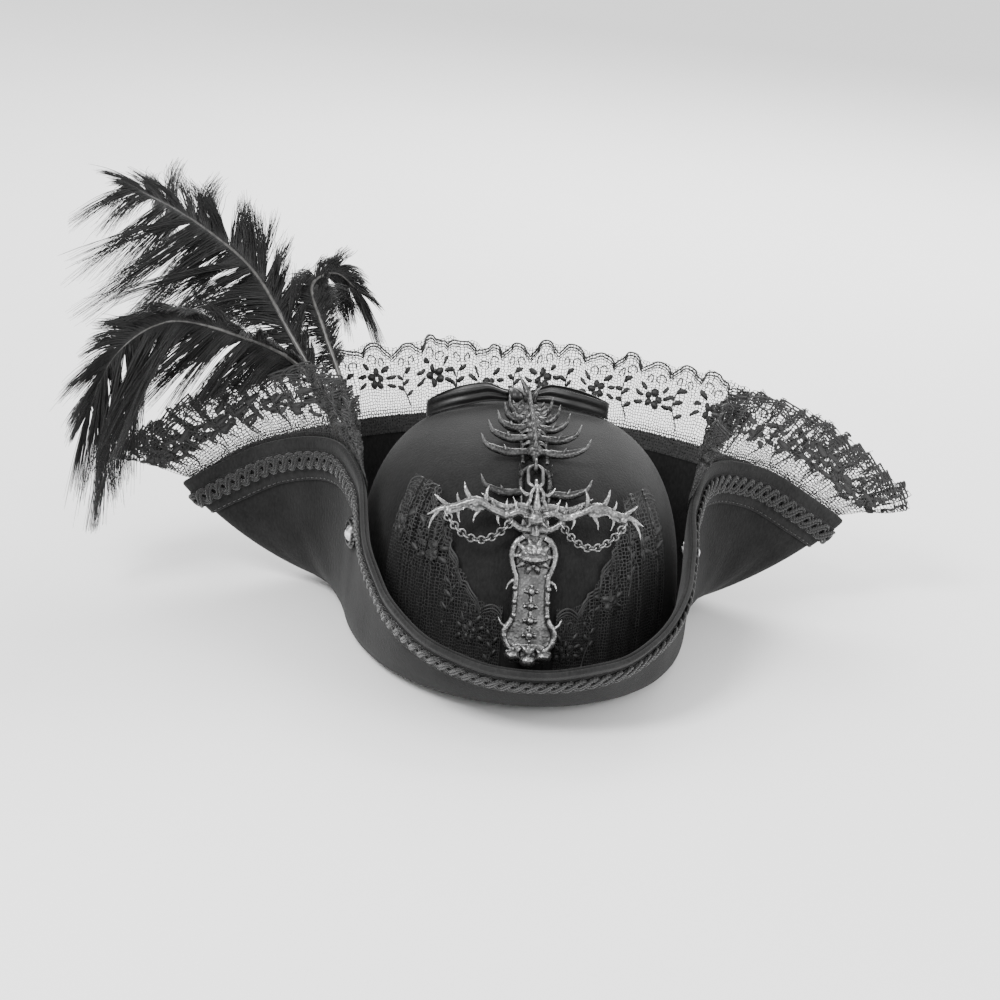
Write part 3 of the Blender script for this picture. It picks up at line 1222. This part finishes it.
def make_plume(name, route, count, reach, sag, seed, clumps, start=0.3):
    """An ostrich feather: a quill with clumped, tapering barbs; reach and sag are (upper, lower)."""
    r = np.random.default_rng(seed)
    last = len(route) - 1
    t = np.linspace(0, last, 90)
    widths = np.interp(t, np.arange(last + 1), QUILL_RADII[:last + 1])
    quill = tubes(name + "_shaft", spline(route, t)[None], widths[None], 10)
    piece(quill, QUILL_LOOK, body="plumes", stands_for=[name + "_quill"])

    f = start + (1 - start) * (np.arange(count) + r.uniform(-0.5, 0.5, count)) / count
    f = np.clip(f, start, 0.998)
    side = np.where(np.arange(count) % 2 == 0, -1.0, 1.0)
    here = spline(route, f * last)
    way = unit(spline(route, np.minimum(f * last + 0.03, last)) - spline(route, f * last - 0.03))
    lower = unit(np.stack([-way[:, 2], 0 * f, way[:, 0]], -1))
    face = unit(np.cross(way, lower))
    out = lower * side[:, None]
    clump = np.floor(f * clumps + r.uniform(-0.3, 0.3, count)).astype(int) * 2 + (side > 0)
    table = r.normal(size=(clump.max() + 2, 4))
    own = r.normal(size=(count, 5))
    profile = (0.42 + 0.58 * ramp(f, start, start + 0.25)) * (1 - 0.35 * ramp(f, 0.85, 1.0))
    length = np.where(side < 0, reach[0], reach[1]) * profile * (0.9 + 0.14 * table[clump,
                                                                                    0] + 0.13 * own[:, 0])
    length = np.clip(length, 6, 1.12 * max(reach))
    ahead = np.radians(38 + 40 * ramp(f, 0.72, 1.0) + 7 * table[clump, 1] + 3 * own[:, 1])
    k = 10
    u = np.linspace(0, 1, k)[None, :, None]
    start_way = np.cos(ahead)[:, None] * out + np.sin(ahead)[:, None] * way
    start_way = start_way + (0.16 * table[clump, 2] + 0.07 * own[:, 2])[:, None] * face
    droop = np.where(side < 0, sag[0], sag[1]) * (1 + 0.25 * table[clump, 3])
    curl = (0.2 * table[clump, 2] + 0.10 * own[:, 3])[:, None]
    bend = -droop[:, None] * np.array([0, 0, 1.0]) + curl * face + 0.12 * way
    paths = here[:, None] + length[:, None, None] * (u * start_way[:, None] + u**2.1 * bend[:, None])
    gathered = np.zeros_like(paths)
    for c in np.unique(clump):
        mine = clump == c
        gathered[mine] = paths[mine].mean(0, keepdims=True)
    paths += 0.24 * u**1.6 * (gathered - paths)
    frizz = np.sin(u * (9 + 3 * own[:, None, 4:]) + own[:, None, :1] * 9) * 0.9 * u
    paths += frizz * face[:, None]
    # barbs that would pass the feather's own room are shorter
    over = np.maximum(PLUME_LOW - paths, paths - PLUME_HIGH).max(axis=(1, 2))
    span = np.abs(paths - here[:, None]).max(axis=(1, 2))
    keep = np.clip(1 - 1.3 * np.maximum(over, 0) / np.maximum(span, 1), 0.3, 1)
    paths = here[:, None] + keep[:, None, None] * (paths - here[:, None])
    radii = 0.3 * (1 - 0.8 * u[:, :, 0] ** 1.4) * (0.85 + 0.15 * own[:, :1].clip(-1.5, 1.5))
    barbs = tubes(name + "_barbs", paths, radii, 3)
    piece(barbs, BARB_LOOK, body="plumes", stands_for=[name + "_vane"])


make_plume("plume_tall", TALL_ROUTE, 3400, (33, 52), (0.16, 0.42), 41, 46)
make_plume("plume_droop", DROOP_ROUTE, 3200, (24, 48), (0.42, 0.55), 42, 40)
make_plume("plume_curl", CURL_ROUTE, 1700, (27, 18), (0.35, 0.45), 43, 26)

# binding: waxed thread wound round the three quills
PLUME_X = -90.0
PLUME_Y = 27.0
BINDING_TOP = 59.2
BINDING_HEIGHT = 12.0
turn = np.linspace(0, 1, 420)
wraps = 12
wind = 2 * math.pi * wraps * turn
wind_r = 5.45 + 0.12 * np.sin(5 * wind / wraps)
helix = np.stack([PLUME_X + wind_r * np.cos(wind), PLUME_Y + wind_r * np.sin(wind),
                  BINDING_TOP - 0.6 - (BINDING_HEIGHT - 1.2) * turn], -1)[None]
winding = tubes("plume_winding", helix, 0.5, 8)
note_points(winding, "along", ring_along(helix, 8))
piece(winding, BINDING_LOOK, body="plumes", stands_for=["plume_binding"])
core_z = np.array([0.05, 0.6, 6, 11.4, 11.95])
core_path = np.stack([0 * core_z + PLUME_X, 0 * core_z + PLUME_Y, BINDING_TOP - BINDING_HEIGHT + core_z],
                     -1)[None]
core = tubes("plume_core", core_path, np.array([[4.6, 5.3, 5.4, 5.3, 4.6]]), 40)
note_points(core, "along", ring_along(core_path, 40))
piece(core, BINDING_LOOK, body="plumes")

# felt tab under the binding: three layers stitched together
TAB_MIDDLE = (-88.5, 27.0)
TAB_TOP = 45.6
a = np.linspace(0, 2 * math.pi, 72, endpoint=False)
tab_parts = []
for layer in range(3):
    rings = []
    for z, inset in ((0, 0.35), (0.25, 0.05), (2.3, 0.05), (2.55, 0.35)):
        x = TAB_MIDDLE[0] + (8.5 - inset - 0.1 * layer) * np.sign(np.cos(a)) * np.abs(np.cos(a)) ** 0.3
        y = TAB_MIDDLE[1] + (8 - inset) * np.sign(np.sin(a)) * np.abs(np.sin(a)) ** 0.3
        rings.append(np.stack([x, y, 0 * a + TAB_TOP - 8 + 2.7 * layer + z], -1))
    rings = np.array(rings)
    m = len(a)
    ring = np.arange(m)
    tab_parts.append((rings.reshape(-1, 3),
                      [grid_faces(4, m, False, True)[:, ::-1], ring[::-1][None], ring[None] + 3 * m]))
tab = new_object("plume_tab_felt", *joined(tab_parts), smooth=False)
piece(tab, FELT_LOOK, stands_for=["plume_tab"])

# ---------------------------------------------------------------- satin bow

BOW_X = -4.0
BOW_Y = 28.0
KNOT_HALF = 5.0
BOW_REACH = 46.0
BOW_RIBBON = 10.0


def make_bow_loop(name, side, seed):
    """A loop of ribbon standing on its edge: out along the front, round a crisp fold and back behind."""
    n, m = 96, 22
    u = np.linspace(0, 1, n)[:, None]
    q = np.linspace(0, 1, m)[None]
    f = np.sin((1 - np.abs(2 * u - 1)) * math.pi / 2)
    behind = np.where(u > 0.5, 1.0, -1.0)
    x = BOW_X + side * (KNOT_HALF + 0.3 + (BOW_REACH - KNOT_HALF) * f)
    half_y = (2.2 + 4.8 * ramp(f, 0, 0.6)) * np.sqrt(np.clip(1 - f**6, 0, 1))
    gather = 0.7 * (1 - f) ** 0.7 * np.sin(q * 13 + seed + behind)
    y = BOW_Y + behind * half_y + gather + 0.5 * np.sin(q * 3 + f * 6 + seed) * f
    width = 5.2 + 3.4 * ramp(f, 0, 0.3)
    z = crown_top(x, y) + 0.8 + width * (q + 0.25 * (1 - f))
    path = np.stack(np.broadcast_arrays(x, y, z), -1)
    normal = grid_normals(path)
    loop = new_object(name + "_ribbon", *slab(path + 0.2 * normal, path - 0.2 * normal))
    piece(loop, SATIN_LOOK, stands_for=[name])
    return loop


bow_left = make_bow_loop("bow_left_loop", -1, 1.0)
bow_right = make_bow_loop("bow_right_loop", 1, 2.2)
a = np.linspace(0, 2 * math.pi, 96, endpoint=False)[None]
x = np.linspace(-KNOT_HALF, KNOT_HALF, 26)[:, None]
pinch = 0.84 + 0.16 * np.cos(x / KNOT_HALF * 1.35) + 0.035 * np.sin(x * 2.1 + 1.5 * np.cos(a))
centre_z = crown_top(BOW_X + x, BOW_Y - 5.5) + 0.6 + 4.0
knot_grid = np.stack(np.broadcast_arrays(BOW_X + x, BOW_Y + 5.4 * pinch * np.cos(a),
                                         centre_z + 3.9 * pinch * np.sin(a)), -1)
ring = np.arange(96)
knot = new_object("bow_knot_band", knot_grid.reshape(-1, 3),
                  [grid_faces(26, 96, False, True), ring[::-1][None], ring[None] + 25 * 96])
piece(knot, SATIN_LOOK, stands_for=["bow_knot"])

# ---------------------------------------------------------------- hardware that keeps its CAD shape

for node in ("left_chain", "right_chain", "bail_ring"):
    dress(node, WORN_METAL_LOOK)
for place in ("left", "right", "back"):
    dress(place + "_stud_bezel", DARK_METAL_LOOK)
    dress(place + "_stud_washer", DARK_METAL_LOOK)
    dress(place + "_stud_dome", POLISHED_LOOK)

# ---------------------------------------------------------------- sheets other than the lace


def declare(obj, width, length):
    say_share(obj, width, length)


_, outer_line = round_lengths(FACING_WIDTH / 2)
round_brim = outer_line[-1]
declare(facing, FACING_WIDTH + 3, round_brim)
declare(tape, BRAID_WIDTH, round_brim)
BAND_ROUND = 2 * math.pi * math.sqrt(((CROWN_HALF_X - 3.4) ** 2 + (CROWN_HALF_Y - 3.4) ** 2) / 2)
declare(band, BAND_HIGH - BAND_LOW, BAND_ROUND)
declare(bow_left, BOW_RIBBON, 2 * BOW_REACH)
declare(bow_right, BOW_RIBBON, 2 * BOW_REACH)

# ---------------------------------------------------------------- floor and light

floor_mesh = bpy.data.meshes.new("floor")
floor_mesh.from_pydata([(-6, -6, -0.0005), (6, -6, -0.0005), (6, 6, -0.0005), (-6, 6, -0.0005)], [],
                       [(0, 1, 2, 3)])
floor_obj = bpy.data.objects.new("floor", floor_mesh)
bpy.context.scene.collection.objects.link(floor_obj)
floor_obj.data.materials.append(floor_finish())

world = bpy.data.worlds.new("studio")
bpy.context.scene.world = world
world.use_nodes = True
world.node_tree.nodes["Background"].inputs["Color"].default_value = (1, 1, 1, 1)
world.node_tree.nodes["Background"].inputs["Strength"].default_value = 1.5


def soft_light(name, where, power, size, target=(0, 0, 0.07)):
    data = bpy.data.lights.new(name, "AREA")
    data.energy = power
    data.size = size
    lamp = bpy.data.objects.new(name, data)
    lamp.location = where
    lamp.rotation_euler = (Vector(target) - Vector(where)).to_track_quat("-Z", "Y").to_euler()
    bpy.context.scene.collection.objects.link(lamp)


soft_light("key", (-0.75, -0.95, 1.25), 30, 0.5)
soft_light("fill", (1.1, -0.9, 0.6), 12, 0.9)
soft_light("rim", (0.3, 1.1, 0.9), 22, 0.7)
